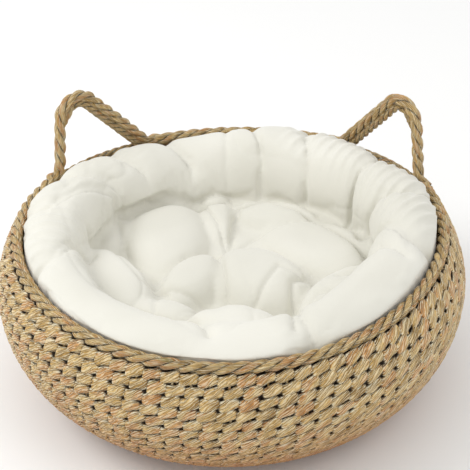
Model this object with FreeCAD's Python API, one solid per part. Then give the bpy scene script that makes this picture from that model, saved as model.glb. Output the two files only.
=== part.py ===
import FreeCAD, Part
import os
from math import acos, asin, atan, cos, degrees, hypot, pi, radians, sin, sqrt, tan

V = FreeCAD.Vector
ORIGIN = V(0, 0, 0)
UP = V(0, 0, 1)

# A round pet bed: a bulging twined basket with two cat ears on its rim, and a filled
# cushion that lifts out of it. Millimetres. The origin is the middle of the underside,
# +Z is up, -Y is the front, and the ears stand at the back, one each side of +Y.

# Overall shape of the basket
BELLY_RADIUS = 240.0        # widest outside radius
BELLY_HEIGHT = 112.0        # height of the widest place
BASE_INSET = 90.0           # how far inside the belly the flat underside ends
HEEL_RADIUS = 50.0          # small curve between the underside and the side
RIM_INSET = 22.5            # how far inside the belly the border rope's middle is
RIM_RISE = 48.0             # how far above the belly the border rope's middle is

# Weaving materials
STRAND_THICKNESS = 3.2      # one weft strand, flattened by the weave
STAKE_THICKNESS = 2.6       # upright stake between the two weft strands
STAKE_WIDTH = 3.4           # stake width at the belly
STAKE_COUNT = 84
BASE_STAKE_WIDTH = 2.4
BASE_STAKE_COUNT = 42
CENTRE_MARGIN = 2.0         # room between the base centre's edge and where its stakes meet
HEEL_ROWS = 2
SIDE_ROWS = 11
SHOULDER_ROWS = 4
BASE_ROWS = 11

# Rim and ears
ROPE_RADIUS = 6.25          # border rope
SILL_RADIUS = 3.5           # thin bound edge under each ear
WIRE_RADIUS = 2.0           # hidden steel wire
WIRE_CLEARANCE = 0.1        # room round the wire inside the rope
EAR_BEARING = 45.6          # degrees from the back (+Y) to the middle of an ear
EAR_WIDTH = 115.6           # between the middles of the ear's two feet
EAR_PEAK = 116.0            # where the two legs' middle lines would meet, above the rim
EAR_LEAN = 6.3              # degrees that the outer leg leans in from upright
EAR_TIP_RADIUS = 22.0
EAR_OUTER_FOOT_RADIUS = 11.0
EAR_INNER_FOOT_RADIUS = 18.0
EAR_FOOT_LENGTH = 3.0       # straight rope past each foot's bend
SECOND_ROW_RADIUS = 3.75    # rope laid inside the ear's border rope
SECOND_ROW_START = 58.0     # its height above the rim on the outer leg
SECOND_ROW_END = 2.0        # its height above the rim on the slanted leg

# Cushion
CUSHION_CLEARANCE = 0.5     # cushion to basket
EAR_CLEARANCE = 1.2         # cushion to ear ropes as it lifts out
BOLSTER_WIDTH = 62.0
BOLSTER_TOP = 186.0
BOLSTER_INNER_CURVE = 33.0
PAD_EDGE_HEIGHT = 100.0
PAD_CROWN = 16.0            # rise of the pad from its edge to its middle
COVER_THICKNESS = 1.2

# Sizes that follow from the ones above
WALL_THICKNESS = 2 * STRAND_THICKNESS + STAKE_THICKNESS
STAKE_INSET = STRAND_THICKNESS
INNER_STRAND_INSET = STRAND_THICKNESS + STAKE_THICKNESS
CENTRE_RADIUS = BASE_STAKE_WIDTH / 2 / tan(pi / BASE_STAKE_COUNT) + CENTRE_MARGIN
BASE_RADIUS = BELLY_RADIUS - BASE_INSET
RIM_RADIUS = BELLY_RADIUS - RIM_INSET
RIM_HEIGHT = BELLY_HEIGHT + RIM_RISE


def side_radius():
    """Curve below the belly: upright at the belly and tangent to the heel curve."""
    squares = BASE_INSET ** 2 + BELLY_HEIGHT ** 2
    return (squares - 2 * BELLY_HEIGHT * HEEL_RADIUS) / (2 * (BASE_INSET - HEEL_RADIUS))


def shoulder_middle_radius():
    """Curve of the wall's middle above the belly, which runs into the border rope's middle."""
    inset = RIM_INSET - WALL_THICKNESS / 2
    return (inset ** 2 + RIM_RISE ** 2 - ROPE_RADIUS ** 2) / (2 * inset)


SIDE_RADIUS = side_radius()
SHOULDER_MIDDLE = shoulder_middle_radius()
SHOULDER_RADIUS = SHOULDER_MIDDLE + WALL_THICKNESS / 2
HEEL_CENTRE = (BASE_RADIUS, HEEL_RADIUS)
SIDE_CENTRE = (BELLY_RADIUS - SIDE_RADIUS, BELLY_HEIGHT)
SHOULDER_CENTRE = (BELLY_RADIUS - SHOULDER_RADIUS, BELLY_HEIGHT)

# Angles, from outward horizontal, where the heel meets the side and where the shoulder ends
HEEL_END = -acos((HEEL_CENTRE[0] - SIDE_CENTRE[0]) / (SIDE_RADIUS - HEEL_RADIUS))
ROPE_ANGLE = asin(RIM_RISE / hypot(SHOULDER_MIDDLE, ROPE_RADIUS))
SHOULDER_END = ROPE_ANGLE - atan(ROPE_RADIUS / SHOULDER_MIDDLE)
WALL_ARCS = (
    (HEEL_CENTRE, HEEL_RADIUS, -pi / 2, HEEL_END, HEEL_ROWS),
    (SIDE_CENTRE, SIDE_RADIUS, HEEL_END, 0.0, SIDE_ROWS),
    (SHOULDER_CENTRE, SHOULDER_RADIUS, 0.0, SHOULDER_END, SHOULDER_ROWS),
)


def above_wall_edge(distance):
    """Radius and height of a point straight off the middle of the wall's top edge."""
    across = SHOULDER_MIDDLE * cos(SHOULDER_END) - distance * sin(SHOULDER_END)
    rise = SHOULDER_MIDDLE * sin(SHOULDER_END) + distance * cos(SHOULDER_END)
    return SHOULDER_CENTRE[0] + across, SHOULDER_CENTRE[1] + rise


RING_RADIUS, RING_HEIGHT = above_wall_edge(SILL_RADIUS)
EAR_PLANE = sqrt(RIM_RADIUS ** 2 - (EAR_WIDTH / 2) ** 2)
CUSHION_RADIUS = EAR_PLANE - ROPE_RADIUS - EAR_CLEARANCE
PAD_RADIUS = CUSHION_RADIUS - BOLSTER_WIDTH


# --- drawing helpers -------------------------------------------------------------------

def section_point(centre, radius, angle):
    """A point of the upright half section, in the XZ plane."""
    return V(centre[0] + radius * cos(angle), 0, centre[1] + radius * sin(angle))


def section_arc(centre, radius, start, end):
    first = section_point(centre, radius, start)
    middle = section_point(centre, radius, (start + end) / 2)
    last = section_point(centre, radius, end)
    return Part.Arc(first, middle, last).toShape()


def face_of(edges):
    return Part.Face(Part.Wire(edges))


def turn(face, start=0.0, sweep=360.0):
    """Revolve a half section about the basket's upright axis."""
    placed = face.copy()
    placed.rotate(ORIGIN, UP, start)
    return placed.revolve(ORIGIN, UP, sweep)


def wall_face(arcs, outer_inset, inner_inset):
    """Half section of the wall between two depths below its outside, along some arcs."""
    outside = [section_arc(c, r - outer_inset, a, b) for c, r, a, b in arcs]
    inside = [section_arc(c, r - inner_inset, a, b) for c, r, a, b in arcs]
    top = Part.makeLine(outside[-1].Vertexes[-1].Point, inside[-1].Vertexes[-1].Point)
    bottom = Part.makeLine(outside[0].Vertexes[0].Point, inside[0].Vertexes[0].Point)
    return face_of(Part.__sortEdges__(outside + [top] + inside + [bottom]))


def rectangle_face(inner, outer, low, high):
    corners = [V(inner, 0, low), V(outer, 0, low), V(outer, 0, high), V(inner, 0, high)]
    return Part.Face(Part.makePolygon(corners + corners[:1]))


def around(shape, count, first_angle=0.0):
    """Copies of a shape spaced evenly round the upright axis."""
    copies = []
    for i in range(count):
        copy = shape.copy()
        copy.rotate(ORIGIN, UP, first_angle + 360.0 * i / count)
        copies.append(copy)
    return copies


def rounded_path(corners, radii):
    """Straight runs joined by tangent arcs, one radius for each inner corner."""
    edges = []
    start = corners[0]
    for i, radius in enumerate(radii, 1):
        back = (corners[i - 1] - corners[i]).normalize()
        ahead = (corners[i + 1] - corners[i]).normalize()
        half = back.getAngle(ahead) / 2
        reach = radius / tan(half)
        first = corners[i] + back * reach
        last = corners[i] + ahead * reach
        bisector = (back + ahead).normalize()
        middle = corners[i] + bisector * (radius / sin(half) - radius)
        edges.append(Part.makeLine(start, first))
        edges.append(Part.Arc(first, middle, last).toShape())
        start = last
    edges.append(Part.makeLine(start, corners[-1]))
    return Part.Wire(edges)


def tube(path, radius):
    """A round bar along a path."""
    first = path.Edges[0]
    centre = first.valueAt(first.FirstParameter)
    along = first.tangentAt(first.FirstParameter)
    circle = Part.Wire(Part.makeCircle(radius, centre, along))
    return path.makePipe(Part.Face(circle))


def mirrored(shape):
    return shape.mirror(ORIGIN, V(1, 0, 0))


def save(name, shapes):
    """One STEP file for one node, holding one solid or several separate ones."""
    shapes = shapes if isinstance(shapes, list) else [shapes]
    solids = [solid for shape in shapes for solid in shape.Solids]
    shape = solids[0] if len(solids) == 1 else Part.makeCompound(solids)
    shape.exportStep("parts/" + name + ".step")


# --- woven wall and base ---------------------------------------------------------------

def weft_pair(centre, radius, start, end):
    """One row of twining: a strand outside the stakes and a strand inside them."""
    arcs = [(centre, radius, start, end)]
    outer = turn(wall_face(arcs, 0.0, STAKE_INSET))
    inner = turn(wall_face(arcs, INNER_STRAND_INSET, WALL_THICKNESS))
    return [outer, inner]


def wall_rows():
    """Every row of the wall, from the heel up to the border rope."""
    rows = []
    for centre, radius, start, end, count in WALL_ARCS:
        step = (end - start) / count
        for i in range(count):
            rows.append(weft_pair(centre, radius, start + i * step, start + (i + 1) * step))
    return rows


def side_stakes():
    arcs = [arc[:4] for arc in WALL_ARCS]
    width = degrees(STAKE_WIDTH / BELLY_RADIUS)
    stake = turn(wall_face(arcs, STAKE_INSET, INNER_STRAND_INSET), -width / 2, width)
    return around(stake, STAKE_COUNT)


def base_rows():
    """Rings of twining that make the flat underside, from the centre out."""
    rows = []
    pitch = (BASE_RADIUS - CENTRE_RADIUS) / BASE_ROWS
    for i in range(BASE_ROWS):
        inner = CENTRE_RADIUS + i * pitch
        outer = inner + pitch
        lower = turn(rectangle_face(inner, outer, 0.0, STAKE_INSET))
        upper = turn(rectangle_face(inner, outer, INNER_STRAND_INSET, WALL_THICKNESS))
        rows.append([lower, upper])
    return rows


def base_stakes():
    end_gap = 0.1
    length = BASE_RADIUS - CENTRE_RADIUS - 2 * end_gap
    corner = V(CENTRE_RADIUS + end_gap, -BASE_STAKE_WIDTH / 2, STAKE_INSET)
    stake = Part.makeBox(length, BASE_STAKE_WIDTH, STAKE_THICKNESS, corner)
    return around(stake, BASE_STAKE_COUNT)


def base_centre():
    return Part.makeCylinder(CENTRE_RADIUS, WALL_THICKNESS)


# --- rim -------------------------------------------------------------------------------

def rope_face(radius, height, rope_radius):
    """Round half section of a rope on the rim, with its channel for the wire ring."""
    rope = Part.Wire(Part.makeCircle(rope_radius, V(radius, 0, height), V(0, 1, 0)))
    channel_radius = WIRE_RADIUS + WIRE_CLEARANCE
    ring_middle = V(RING_RADIUS, 0, RING_HEIGHT)
    channel = Part.Wire(Part.makeCircle(channel_radius, ring_middle, V(0, 1, 0)))
    return Part.Face(rope).cut(Part.Face(channel)).Faces[0]


def wire_ring():
    """Steel ring that the border rope is laid over."""
    return Part.makeTorus(RING_RADIUS, WIRE_RADIUS, V(0, 0, RING_HEIGHT))


def ring_channel():
    return Part.makeTorus(RING_RADIUS, WIRE_RADIUS + WIRE_CLEARANCE, V(0, 0, RING_HEIGHT))


def rim_point(bearing):
    """A point of the border rope's middle line, by its bearing from the back (+Y)."""
    angle = radians(bearing)
    return V(RIM_RADIUS * sin(angle), RIM_RADIUS * cos(angle), RIM_HEIGHT)


EAR_HALF_ANGLE = degrees(asin(EAR_WIDTH / 2 / RIM_RADIUS))
OUTER_FOOT = rim_point(EAR_BEARING + EAR_HALF_ANGLE)
INNER_FOOT = rim_point(EAR_BEARING - EAR_HALF_ANGLE)
ALONG_EAR = (INNER_FOOT - OUTER_FOOT).normalize()


def in_ear(across, rise):
    """A point of the right ear's plane: across from its outer foot, up from the rim."""
    return OUTER_FOOT + ALONG_EAR * across + UP * rise


def ear_corners(inset):
    """Feet and peak of the ear's outline, moved in by a distance from the border rope."""
    lean = radians(EAR_LEAN)
    peak_across = EAR_PEAK * tan(lean)
    slope = atan(EAR_PEAK / (EAR_WIDTH - peak_across))
    left = inset / cos(lean)
    right = EAR_WIDTH - inset / sin(slope)
    rise = (right - left) / (tan(lean) + 1 / tan(slope))
    return left, (left + rise * tan(lean), rise), right, slope


def foot_reach(radius, turn_angle):
    """How far past a foot its bend and its straight end run along the rim."""
    return radius * tan(turn_angle / 2) + EAR_FOOT_LENGTH


def ear_ends():
    """Where the ear's border rope starts and stops, measured from its outer foot."""
    slope = ear_corners(0.0)[3]
    start = -foot_reach(EAR_OUTER_FOOT_RADIUS, radians(90 - EAR_LEAN))
    stop = EAR_WIDTH + foot_reach(EAR_INNER_FOOT_RADIUS, slope)
    return start, stop


def ear_rope_path():
    left, peak, right = ear_corners(0.0)[:3]
    start, stop = ear_ends()
    corners = [in_ear(start, 0), in_ear(left, 0), in_ear(*peak), in_ear(right, 0), in_ear(stop, 0)]
    return rounded_path(corners, [EAR_OUTER_FOOT_RADIUS, EAR_TIP_RADIUS, EAR_INNER_FOOT_RADIUS])


def second_row_path():
    inset = ROPE_RADIUS + SECOND_ROW_RADIUS
    left, peak, right, slope = ear_corners(inset)
    low = in_ear(left + SECOND_ROW_START * tan(radians(EAR_LEAN)), SECOND_ROW_START)
    end = in_ear(right - SECOND_ROW_END / tan(slope), SECOND_ROW_END)
    return rounded_path([low, in_ear(*peak), end], [EAR_TIP_RADIUS - inset])


def ear_wire_path():
    """The wire comes straight down onto the ring, a little above the ring's middle."""
    left, peak, right, slope = ear_corners(0.0)
    rise = RING_HEIGHT + WIRE_RADIUS / 2 - RIM_HEIGHT
    low = in_ear(left + rise * tan(radians(EAR_LEAN)), rise)
    end = in_ear(right - rise / tan(slope), rise)
    return rounded_path([low, in_ear(*peak), end], [EAR_TIP_RADIUS])


def ear_wire():
    """Wire of the right ear, with its feet notched to sit on the ring."""
    return tube(ear_wire_path(), WIRE_RADIUS).cut(wire_ring())


def ear_rope(wall_top):
    """Border rope of the right ear, hollow for its wire and seated on the wall's edge."""
    rope = tube(ear_rope_path(), ROPE_RADIUS)
    wire_room = tube(ear_wire_path(), WIRE_RADIUS + WIRE_CLEARANCE)
    return rope.cut(wire_room).cut(ring_channel()).cut(wall_top)


def ear_span_box():
    """Block that takes the ear's stretch out of the rim rope, face to face with its ends."""
    start, stop = ear_ends()
    depth = 12 * ROPE_RADIUS
    block = Part.makeBox(stop - start, depth, depth, V(0, -depth / 2, -depth / 2))
    block.rotate(ORIGIN, UP, degrees(ALONG_EAR.getAngle(V(1, 0, 0))))
    block.translate(in_ear(start, 0))
    return block


def rim_ropes():
    """The border rope's two stretches: round the front, and between the ears at the back."""
    rope = turn(rope_face(RIM_RADIUS, RIM_HEIGHT, ROPE_RADIUS))
    block = ear_span_box()
    stretches = rope.cut(block).cut(mirrored(block)).Solids
    stretches.sort(key=lambda solid: solid.Volume)
    back, front = stretches
    return front, back


def ear_sill(border, second_row):
    """Thin bound edge under the right ear, between its feet."""
    start = 90 - EAR_BEARING - EAR_HALF_ANGLE
    sill = turn(rope_face(RING_RADIUS, RING_HEIGHT, SILL_RADIUS), start, 2 * EAR_HALF_ANGLE)
    pieces = sill.cut(border).cut(second_row).Solids
    return max(pieces, key=lambda solid: solid.Volume)


# --- cushion ---------------------------------------------------------------------------

def bolster_face(inset):
    """Half section of the ring-shaped bolster, moved in by a distance."""
    depth = WALL_THICKNESS + CUSHION_CLEARANCE + inset
    outer = CUSHION_RADIUS - inset
    inner = PAD_RADIUS + inset
    side = SIDE_RADIUS - depth
    side_end = -acos((outer - SIDE_CENTRE[0]) / side)
    heel = section_arc(HEEL_CENTRE, HEEL_RADIUS - depth, -pi / 2, HEEL_END)
    flank = section_arc(SIDE_CENTRE, side, HEEL_END, side_end)
    crest = PAD_RADIUS + BOLSTER_INNER_CURVE
    outer_curve = BOLSTER_WIDTH - BOLSTER_INNER_CURVE
    outer_arc = section_arc((crest, BOLSTER_TOP - outer_curve), outer_curve - inset, 0, pi / 2)
    inner_centre = (crest, BOLSTER_TOP - BOLSTER_INNER_CURVE)
    inner_arc = section_arc(inner_centre, BOLSTER_INNER_CURVE - inset, pi / 2, pi)
    low_corner = V(inner, 0, HEEL_CENTRE[1] - HEEL_RADIUS + depth)
    edges = [
        Part.makeLine(low_corner, heel.Vertexes[0].Point),
        heel,
        flank,
        Part.makeLine(flank.Vertexes[-1].Point, outer_arc.Vertexes[0].Point),
        outer_arc,
        inner_arc,
        Part.makeLine(inner_arc.Vertexes[-1].Point, low_corner),
    ]
    return face_of(edges)


def pad_face(inset):
    """Half section of the crowned round pad, moved in by a distance."""
    low = WALL_THICKNESS + CUSHION_CLEARANCE + inset
    edge = PAD_RADIUS - inset
    crown_radius = (PAD_RADIUS ** 2 + PAD_CROWN ** 2) / (2 * PAD_CROWN)
    centre = (0.0, PAD_EDGE_HEIGHT + PAD_CROWN - crown_radius)
    radius = crown_radius - inset
    top = section_arc(centre, radius, acos(edge / radius), pi / 2)
    edges = [
        Part.makeLine(V(0, 0, low), V(edge, 0, low)),
        Part.makeLine(V(edge, 0, low), top.Vertexes[0].Point),
        top,
        Part.makeLine(top.Vertexes[-1].Point, V(0, 0, low)),
    ]
    return face_of(edges)


def filled_piece(face_at):
    """A sewn cover and the filling inside it."""
    filling = turn(face_at(COVER_THICKNESS))
    cover = turn(face_at(0.0)).cut(filling)
    return cover, filling


# --- the whole bed ---------------------------------------------------------------------

def main():
    os.makedirs("parts", exist_ok=True)

    rows = wall_rows()
    for number, row in enumerate(rows, 1):
        save("wall_row_%02d" % number, row)
    save("side_stakes", side_stakes())
    for number, row in enumerate(base_rows(), 1):
        save("base_row_%02d" % number, row)
    save("base_stakes", base_stakes())
    save("base_centre", base_centre())

    front, back = rim_ropes()
    save("rim_rope_front", front)
    save("rim_rope_back", back)
    save("rim_wire_ring", wire_ring())

    wall_top = turn(wall_face([WALL_ARCS[-1][:4]], 0.0, WALL_THICKNESS))
    border = ear_rope(wall_top)
    second_row = tube(second_row_path(), SECOND_ROW_RADIUS)
    ear_pieces = {
        "border_rope": border,
        "second_row": second_row,
        "wire": ear_wire(),
        "sill": ear_sill(border, second_row),
    }
    for name, piece in ear_pieces.items():
        save("right_ear_" + name, piece)
        save("left_ear_" + name, mirrored(piece))

    bolster_cover, bolster_filling = filled_piece(bolster_face)
    pad_cover, pad_filling = filled_piece(pad_face)
    save("bolster_cover", bolster_cover)
    save("bolster_filling", bolster_filling)
    save("pad_cover", pad_cover)
    save("pad_filling", pad_filling)


main()
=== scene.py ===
from functools import partial
from math import acos, asin, atan, cos, exp, hypot, pi, radians, sin, sqrt, tan

import bpy
import numpy as np
from mathutils import Matrix, Vector


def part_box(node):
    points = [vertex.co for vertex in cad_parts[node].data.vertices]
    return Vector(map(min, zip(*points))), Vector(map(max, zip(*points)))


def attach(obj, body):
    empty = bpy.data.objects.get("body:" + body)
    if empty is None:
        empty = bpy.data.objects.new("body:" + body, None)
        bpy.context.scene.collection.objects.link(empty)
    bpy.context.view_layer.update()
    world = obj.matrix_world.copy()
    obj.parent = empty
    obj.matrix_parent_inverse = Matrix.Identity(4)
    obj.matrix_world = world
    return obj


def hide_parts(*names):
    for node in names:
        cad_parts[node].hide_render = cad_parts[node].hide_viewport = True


# A twined rush pet bed with two cat ears on its rim and a loose, stuffed cotton cushion.
# Metres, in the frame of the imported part: -Y is the front, +Z is up, the floor is z = 0.

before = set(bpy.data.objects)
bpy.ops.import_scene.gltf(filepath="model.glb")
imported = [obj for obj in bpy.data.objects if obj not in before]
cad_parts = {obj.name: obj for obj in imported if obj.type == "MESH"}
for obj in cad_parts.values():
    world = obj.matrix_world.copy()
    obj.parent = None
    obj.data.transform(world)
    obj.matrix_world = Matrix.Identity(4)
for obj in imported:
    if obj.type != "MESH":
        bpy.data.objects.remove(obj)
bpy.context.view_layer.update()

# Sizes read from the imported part
BELLY_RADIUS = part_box("wall_row_13")[1].x
BELLY_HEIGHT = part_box("wall_row_13")[1].z
BASE_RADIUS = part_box("base_row_11")[1].x
WALL_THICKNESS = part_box("base_centre")[1].z
CENTRE_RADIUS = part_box("base_centre")[1].x
ROPE_LOW, ROPE_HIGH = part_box("rim_rope_front")
ROPE_RADIUS = (ROPE_HIGH.z - ROPE_LOW.z) / 2
RIM_HEIGHT = (ROPE_HIGH.z + ROPE_LOW.z) / 2
RIM_RADIUS = ROPE_HIGH.x - ROPE_RADIUS
RING_LOW, RING_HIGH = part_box("rim_wire_ring")
WIRE_RADIUS = (RING_HIGH.z - RING_LOW.z) / 2
RING_RADIUS = RING_HIGH.x - WIRE_RADIUS
RING_HEIGHT = (RING_HIGH.z + RING_LOW.z) / 2
CUSHION_LOW, CUSHION_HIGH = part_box("bolster_cover")

# Sizes of the weaving
HEEL_RADIUS = 0.050            # small curve between the underside and the side
HEEL_ROWS = 2
SIDE_ROWS = 11
SHOULDER_ROWS = 4
BASE_ROWS = 11
STAKE_COUNT = 84
BASE_STAKE_COUNT = 42
STRAND_THICKNESS = 0.0032
STAKE_THICKNESS = WALL_THICKNESS - 2 * STRAND_THICKNESS
WEAVE_DEPTH = (STAKE_THICKNESS + STRAND_THICKNESS) / 2    # from mid-wall to mid-strand
ROPE_LAY = 0.048               # length of one full turn of the border rope

# Sizes of the ears
EAR_BEARING = radians(45.6)    # from +Y to the middle of an ear
EAR_WIDTH = 0.1156
EAR_PEAK = 0.116
EAR_LEAN = radians(6.3)
EAR_TIP_RADIUS = 0.022
EAR_OUTER_FOOT_RADIUS = 0.011
EAR_INNER_FOOT_RADIUS = 0.018
EAR_FOOT_LENGTH = 0.003        # straight run on the rim beyond each foot
SECOND_ROW_RADIUS = 0.00375
SECOND_ROW_START = 0.058       # height above the rim where it comes out from behind
SECOND_ROW_END = 0.002
SECOND_ROW_BEND = 0.016        # how much higher it has come right out
SECOND_ROW_SINK = 0.0014       # how far it is pressed into the border rope
SILL_RADIUS = 0.0035

# The make of one strand
LEAVES = 3                     # leaves twisted into it
LEAF_EDGES = 12                # folded leaf edges round it
STRAND_SHARE = 0.54            # half its width, as a share of the row's
SIDE_CHANGE = 2.2              # how quickly it changes sides between two stakes
WOBBLES = 75.0                 # wobbles of the maker's hand per metre

# Hand-made unevenness: above its belly the bed is a little three-sided
SWAY = 0.024                   # share of the radius, at the rim
SWAY_BEARING = radians(5.4)


# --- nodes ---

VECTOR_MATH = "ShaderNodeVectorMath"
COMBINE = "ShaderNodeCombineXYZ"
SEPARATE = "ShaderNodeSeparateXYZ"
NOISE = "ShaderNodeTexNoise"
RANGE = "ShaderNodeMapRange"
RAMP = "ShaderNodeValToRGB"
STORE = "GeometryNodeStoreNamedAttribute"
SET_POSITION = "GeometryNodeSetPosition"
CURVE_TO_MESH = "GeometryNodeCurveToMesh"


def add(tree, kind, inputs=(), out=0, **settings):
    """Adds a node with its settings and its inputs, as values or links, and returns an output.

    A kind in capitals, such as COSINE, is what a maths node does.
    """
    node = tree.nodes.new("ShaderNodeMath" if kind.isupper() else kind)
    if kind.isupper():
        node.operation = kind
    for position, code in settings.pop("stops", ()):
        node.color_ramp.elements.new(position).color = colour(code)
    if kind == RAMP:
        node.color_ramp.elements.remove(node.color_ramp.elements[-1])
        node.color_ramp.elements.remove(node.color_ramp.elements[0])
    for name, value in settings.items():
        setattr(node, name, value)
    pairs = inputs.items() if isinstance(inputs, dict) else enumerate(inputs)
    for key, value in pairs:
        if isinstance(value, bpy.types.NodeSocket):
            tree.links.new(value, node.inputs[key])
        elif value is not None:
            node.inputs[key].default_value = value
    return node.outputs[out] if len(node.outputs) else None


def new_tree(name, sizes):
    """An empty Geometry Nodes tree with named inputs, a way to add its nodes, and its inputs."""
    tree = bpy.data.node_groups.new(name, "GeometryNodeTree")
    for label, kind, value in sizes:
        socket = tree.interface.new_socket(label, in_out="INPUT", socket_type="NodeSocket" + kind)
        if value is not None:
            socket.default_value = value
    tree.interface.new_socket("Geometry", in_out="OUTPUT", socket_type="NodeSocketGeometry")
    given = tree.nodes.new("NodeGroupInput").outputs
    return tree, partial(add, tree), given


def close_tree(tree, parts, given):
    """Ends a tree: its parts joined, swayed by hand, smooth, made real and given a material."""
    joined = add(tree, "GeometryNodeJoinGeometry")
    for part in parts:
        tree.links.new(part, joined.node.inputs[0])
    swayed = add(tree, "GeometryNodeGroup", node_tree=hand_sway)
    tree.links.new(joined, swayed.node.inputs["Geometry"])
    smooth = add(tree, "GeometryNodeSetShadeSmooth", [swayed])
    real = add(tree, "GeometryNodeRealizeInstances", [smooth])
    final = add(tree, "GeometryNodeSetMaterial", {"Geometry": real, "Material": given["Material"]})
    tree.links.new(final, tree.nodes.new("NodeGroupOutput").inputs[0])


def placed(name, data):
    """A new object with this data, in the scene."""
    made = bpy.data.objects.new(name, data)
    bpy.context.scene.collection.objects.link(made)
    return made


def final_mesh(piece):
    """A plain mesh of the piece with its modifiers in it."""
    graph = bpy.context.evaluated_depsgraph_get()
    return bpy.data.meshes.new_from_object(piece.evaluated_get(graph), depsgraph=graph)


def grow(name, tree, values, path=None):
    """Runs a tree with these inputs, on a path if it takes one, and keeps a plain mesh."""
    data = path if path else bpy.data.meshes.new(name + "_start")
    source = placed(name + "_start", data)
    modifier = source.modifiers.new("grow", "NODES")
    modifier.node_group = tree
    for item in tree.interface.items_tree:
        if item.in_out == "INPUT" and item.name in values:
            modifier[item.identifier] = values[item.name]
    source.update_tag()
    mesh = final_mesh(source)
    bpy.data.objects.remove(source)
    mesh.name = name
    return placed(name, mesh)


def sway_tree():
    """Moves points in and out above the belly, three times round, as a hand-made rim does."""
    tree, node, given = new_tree("hand sway", [
        ("Geometry", "Geometry", None), ("Sway", "Float", SWAY)])
    place = node("GeometryNodeInputPosition")
    x = node(SEPARATE, [place])
    bearing = node("ARCTAN2", [x.node.outputs[1], x])
    turned = node("SUBTRACT", [bearing, SWAY_BEARING])
    threefold = node("MULTIPLY", [turned, 3.0])
    wave = node("SINE", [threefold])
    rise = node(RANGE, [x.node.outputs[2], BELLY_HEIGHT, RIM_HEIGHT, 0.0, 1.0])
    share = node("MULTIPLY", [rise, rise])
    amount = node("MULTIPLY", [share, given["Sway"]])
    reach = node("MULTIPLY", [wave, amount])
    flat = node(VECTOR_MATH, [place, (1, 1, 0)], operation="MULTIPLY")
    offset = node(VECTOR_MATH, {0: flat, "Scale": reach}, operation="SCALE")
    moved = node(SET_POSITION, {"Geometry": given["Geometry"], "Offset": offset})
    tree.links.new(moved, tree.nodes.new("NodeGroupOutput").inputs[0])
    return tree


hand_sway = sway_tree()


# --- the curve of the wall ---

def wall_arcs():
    """Centre, radius, first and last angle and rows of the wall's three curves, outside face."""
    base_inset = BELLY_RADIUS - BASE_RADIUS
    squares = base_inset ** 2 + BELLY_HEIGHT ** 2
    side = (squares - 2 * BELLY_HEIGHT * HEEL_RADIUS) / (2 * (base_inset - HEEL_RADIUS))
    inset = BELLY_RADIUS - RIM_RADIUS - WALL_THICKNESS / 2
    rise = RIM_HEIGHT - BELLY_HEIGHT
    middle = (inset ** 2 + rise ** 2 - ROPE_RADIUS ** 2) / (2 * inset)
    shoulder = middle + WALL_THICKNESS / 2
    heel_end = -acos((BASE_RADIUS - BELLY_RADIUS + side) / (side - HEEL_RADIUS))
    top = asin(rise / hypot(middle, ROPE_RADIUS)) - atan(ROPE_RADIUS / middle)
    return (
        ((BASE_RADIUS, HEEL_RADIUS), HEEL_RADIUS, -pi / 2, heel_end, HEEL_ROWS),
        ((BELLY_RADIUS - side, BELLY_HEIGHT), side, heel_end, 0.0, SIDE_ROWS),
        ((BELLY_RADIUS - shoulder, BELLY_HEIGHT), shoulder, 0.0, top, SHOULDER_ROWS),
    )


WALL_ARCS = wall_arcs()


def wall_point(centre, radius, angle):
    """A point of the middle of the wall, halfway between its faces."""
    depth = radius - WALL_THICKNESS / 2
    return centre[0] + depth * cos(angle), centre[1] + depth * sin(angle)


def row_places():
    """Radius, height, slope and width of each row, in the middle of the wall, from the heel up."""
    places = []
    for centre, radius, start, end, count in WALL_ARCS:
        step = (end - start) / count
        for i in range(count):
            angle = start + (i + 0.5) * step
            x, z = wall_point(centre, radius, angle)
            places.append((x, z, angle, step * (radius - WALL_THICKNESS / 2)))
    return places


# --- paths ---

def path_curve(name, points, closed=False):
    """A curve through these points, for a tree to follow."""
    curve = bpy.data.curves.new(name, "CURVE")
    curve.dimensions = "3D"
    spline = curve.splines.new("POLY")
    spline.points.add(len(points) - 1)
    for point, place in zip(spline.points, points):
        point.co = (*place, 1.0)
    spline.use_cyclic_u = closed
    return curve


def stake_path():
    """The line of one upright stake through the middle of the wall."""
    steps = 12
    points = []
    for centre, radius, start, end, _ in WALL_ARCS:
        for i in range(steps):
            x, z = wall_point(centre, radius, start + (end - start) * i / steps)
            points.append((x, 0, z))
    x, z = wall_point(*WALL_ARCS[-1][:2], WALL_ARCS[-1][3])
    return path_curve("stake line", points + [(x, 0, z)])


def round_the_rim(radius, height, start, end, steps):
    """Points of an arc about the upright axis, by angle from +X."""
    angles = [start + (end - start) * i / steps for i in range(steps + 1)]
    return [Vector((radius * cos(a), radius * sin(a), height)) for a in angles]


def rounded(corners, radii, steps=10):
    """Points of straight runs joined by tangent arcs."""
    points = [corners[0]]
    for i, radius in enumerate(radii, 1):
        back = (corners[i - 1] - corners[i]).normalized()
        ahead = (corners[i + 1] - corners[i]).normalized()
        half = back.angle(ahead) / 2
        bisector = (back + ahead).normalized()
        centre = corners[i] + bisector * radius / sin(half)
        first = corners[i] + back * radius / tan(half) - centre
        axis = first.cross(corners[i] - centre).normalized()
        for k in range(steps + 1):
            turn = Matrix.Rotation((pi - 2 * half) * k / steps, 3, axis)
            points.append(centre + turn @ first)
    return points + [corners[-1]]


EAR_HALF_ANGLE = asin(EAR_WIDTH / 2 / RIM_RADIUS)


def rim_point(bearing):
    """A point of the border rope's middle line, by its bearing from +Y."""
    return Vector((RIM_RADIUS * sin(bearing), RIM_RADIUS * cos(bearing), RIM_HEIGHT))


OUTER_FOOT = rim_point(EAR_BEARING + EAR_HALF_ANGLE)
INNER_FOOT = rim_point(EAR_BEARING - EAR_HALF_ANGLE)
ALONG_EAR = (INNER_FOOT - OUTER_FOOT).normalized()


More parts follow.
